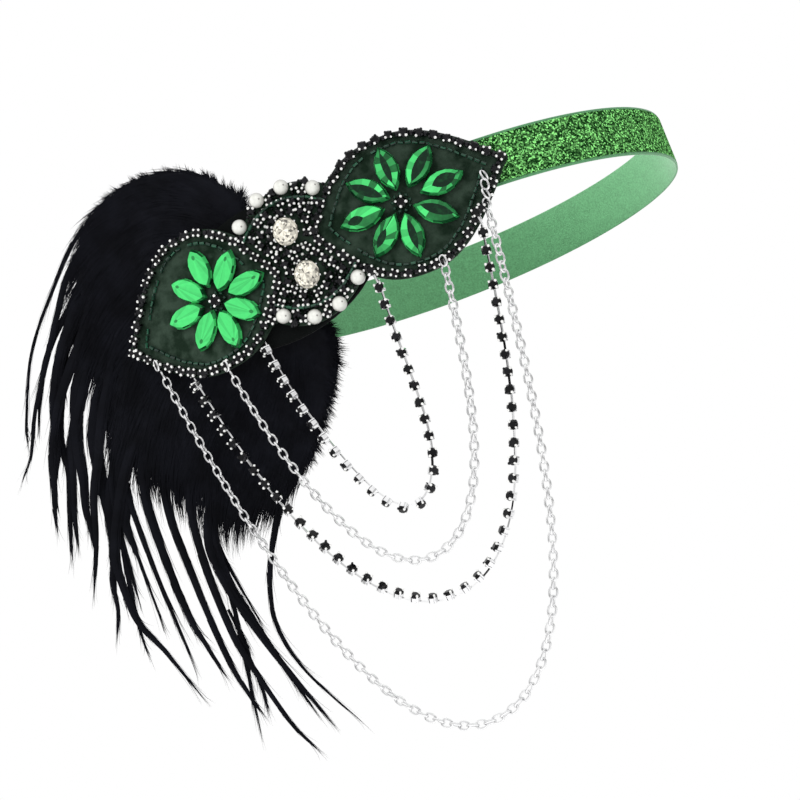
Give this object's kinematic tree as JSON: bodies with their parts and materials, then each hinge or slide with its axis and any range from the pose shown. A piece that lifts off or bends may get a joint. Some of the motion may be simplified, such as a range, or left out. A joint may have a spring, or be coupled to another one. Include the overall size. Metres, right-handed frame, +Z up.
{
  "type": "feather headband",
  "caption": "Glitter ribbon headband with a felt applique of jewelled leaves and pearls, swags of chain and cup-set stones below it, and a black feather plume at one side.",
  "frame": {"origin": "the middle of the ribbon loop at half its width, on the axis of the head that fills it", "axes": "+Z up the wearer's head, -Y to the front, +X to the right as seen from the front"},
  "size_m": [0.2915, 0.1688, 0.256],
  "materials": {
    "glitter_ribbon": "dense green glitter outside, green velvet inside",
    "dark_felt": "very dark green stiff felt",
    "emerald_stone": "faceted emerald green acrylic",
    "clear_stone": "faceted clear acrylic with a silver back",
    "jet_stone": "faceted black stones in silver claws",
    "pearl": "white pearl lustre",
    "silver_metal": "polished silver plating",
    "black_feather": "soft black down and hackle"
  },
  "bodies": {
    "root": {"ribbon_loop": "glitter_ribbon", "felt_backing": "dark_felt", "feather_patch": "dark_felt", "left_petal_1": "emerald_stone", "left_petal_2": "emerald_stone", "left_petal_3": "emerald_stone", "left_petal_4": "emerald_stone", "left_petal_5": "emerald_stone", "left_petal_6": "emerald_stone", "left_petal_7": "emerald_stone", "left_petal_8": "emerald_stone", "left_flower_stone": "jet_stone", "left_edging_stones": "jet_stone", "right_petal_1": "emerald_stone", "right_petal_2": "emerald_stone", "right_petal_3": "emerald_stone", "right_petal_4": "emerald_stone", "right_petal_5": "emerald_stone", "right_petal_6": "emerald_stone", "right_petal_7": "emerald_stone", "right_petal_8": "emerald_stone", "right_flower_stone": "jet_stone", "right_edging_stones": "jet_stone", "medallion_stones": "jet_stone", "clear_stone_upper": "clear_stone", "clear_stone_lower": "clear_stone", "pearl_upper_1": "pearl", "pearl_upper_2": "pearl", "pearl_upper_3": "pearl", "pearl_upper_4": "pearl", "pearl_lower_1": "pearl", "pearl_lower_2": "pearl", "pearl_lower_3": "pearl", "pearl_lower_4": "pearl", "strand_1_cups": "silver_metal", "strand_2_chain": "silver_metal", "strand_3_cups": "silver_metal", "strand_4_chain": "silver_metal", "feather_plume": "black_feather"}
  },
  "joints": []
}
